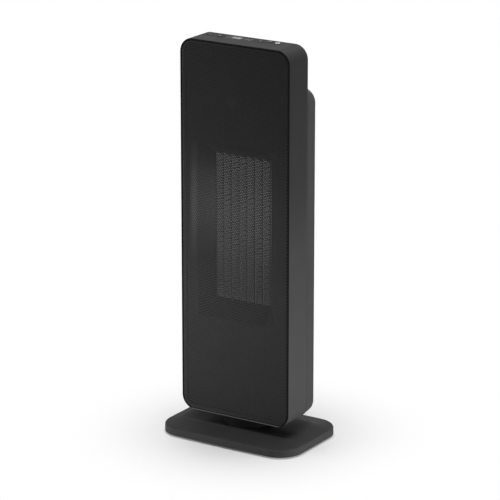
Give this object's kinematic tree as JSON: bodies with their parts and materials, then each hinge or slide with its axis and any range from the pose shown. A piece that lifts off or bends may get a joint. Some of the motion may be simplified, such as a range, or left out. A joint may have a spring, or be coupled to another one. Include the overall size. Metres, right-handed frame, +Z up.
{
  "type": "fan heater",
  "caption": "Upright tower fan heater with a perforated front grille, ceramic heating core, cross-flow blower, top control strip and a swivelling tower on a low base.",
  "frame": {"origin": "on the floor under the swivel axis, at the middle of the base", "axes": "+Z up along the swivel axis, -Y towards the front grille, +X to the right seen from the front"},
  "size_m": [0.24, 0.16, 0.6205],
  "materials": {
    "black_plastic": "fine satin texture",
    "inner_plastic": "matt heat-resistant moulding",
    "mesh_metal": "black paint on perforated sheet",
    "steel": "zinc plated",
    "aluminium": "bare mill finish",
    "copper": "enamelled winding wire",
    "rubber": "matt",
    "board": "solder mask",
    "relay_case": "moulded case",
    "lens": "polished dark tint",
    "button": "satin",
    "nylon": "natural nylon",
    "filter": "fine woven mesh",
    "lead": "silicone sleeve"
  },
  "bodies": {
    "base": {"base_cover": "black_plastic", "base_plate": "black_plastic", "ballast_plate": "steel", "rubber_feet": "rubber", "base_screws": "steel", "slide_ring": "nylon", "swing_ring_gear": "nylon", "tip_switch": "inner_plastic"},
    "tower": {"front_shell": "black_plastic", "front_grille": "mesh_metal", "grille_frame": "black_plastic", "outlet_duct": "inner_plastic", "duct_screws": "steel", "receiver_lens": "lens", "receiver_board": "board", "core_bars": "aluminium", "core_fins": "aluminium", "core_end_frames": "inner_plastic", "core_terminals": "steel", "thermal_cutout": "inner_plastic", "heater_screws": "steel", "blower_housing": "inner_plastic", "blower_tongue": "inner_plastic", "shaft_bearings": "nylon", "motor_can": "steel", "motor_stator": "steel", "motor_windings": "copper", "main_board": "board", "relays": "relay_case", "board_screws": "steel", "heater_leads": "lead", "control_panel": "black_plastic", "display_lens": "lens", "display_board": "board", "push_switches": "inner_plastic", "display_module": "lens", "rear_cover": "black_plastic", "shell_screws": "steel", "rocker_housing": "black_plastic", "cord_gland": "rubber", "terminal_block": "nylon", "floor_plate": "steel", "floor_screws": "steel", "swing_motor": "steel", "swivel_neck": "black_plastic", "retaining_ring": "nylon", "retaining_screws": "steel"},
    "swing_pinion": {"swing_pinion": "nylon"},
    "tip_plunger": {"tip_plunger": "nylon"},
    "blower_rotor": {"blower_wheel": "inner_plastic", "blower_shaft": "steel", "motor_rotor": "steel"},
    "main_rocker": {"main_rocker": "black_plastic"},
    "dust_filter": {"filter_frame": "black_plastic", "filter_mesh": "filter"},
    "power_button": {"power_button": "button"},
    "mode_button": {"mode_button": "button"},
    "swing_button": {"swing_button": "button"},
    "timer_button": {"timer_button": "button"},
    "temperature_button": {"temperature_button": "button"}
  },
  "joints": [
    {"name": "tower_swing", "type": "hinge", "parent": "base", "child": "tower", "pos_m": [0, 0, 0.021], "axis": [0, 0, 1], "range_deg": [-35, 35]},
    {"name": "pinion_spin", "type": "hinge", "parent": "tower", "child": "swing_pinion", "pos_m": [0.026, 0, 0.024], "axis": [0, 0, 1], "range_deg": [-117, 117]},
    {"name": "tip_plunger_slide", "type": "slide", "parent": "base", "child": "tip_plunger", "axis": [0, 0, -1], "range_m": [0, 0.003], "stiffness_N_per_m": 60, "springref_m": 0.008},
    {"name": "blower_spin", "type": "hinge", "parent": "tower", "child": "blower_rotor", "pos_m": [0.018, 0.0175, 0.33], "axis": [0, 0, 1], "continuous": true},
    {"name": "main_rocker_turn", "type": "hinge", "parent": "tower", "child": "main_rocker", "pos_m": [-0.05, 0.0414, 0.09], "axis": [1, 0, 0], "range_deg": [-20, 0]},
    {"name": "dust_filter_slide", "type": "slide", "parent": "tower", "child": "dust_filter", "axis": [0, 1, 0], "range_m": [0, 0.03]},
    {"name": "power_button_press", "type": "slide", "parent": "tower", "child": "power_button", "axis": [0, 0, -1], "range_m": [0, 0.0006], "stiffness_N_per_m": 2500},
    {"name": "mode_button_press", "type": "slide", "parent": "tower", "child": "mode_button", "axis": [0, 0, -1], "range_m": [0, 0.0006], "stiffness_N_per_m": 2500},
    {"name": "swing_button_press", "type": "slide", "parent": "tower", "child": "swing_button", "axis": [0, 0, -1], "range_m": [0, 0.0006], "stiffness_N_per_m": 2500},
    {"name": "timer_button_press", "type": "slide", "parent": "tower", "child": "timer_button", "axis": [0, 0, -1], "range_m": [0, 0.0006], "stiffness_N_per_m": 2500},
    {"name": "temperature_button_press", "type": "slide", "parent": "tower", "child": "temperature_button", "axis": [0, 0, -1], "range_m": [0, 0.0006], "stiffness_N_per_m": 2500}
  ],
  "couplings": [
    {"joint": "pinion_spin", "follows": "tower_swing", "ratio": 3.3333}
  ]
}
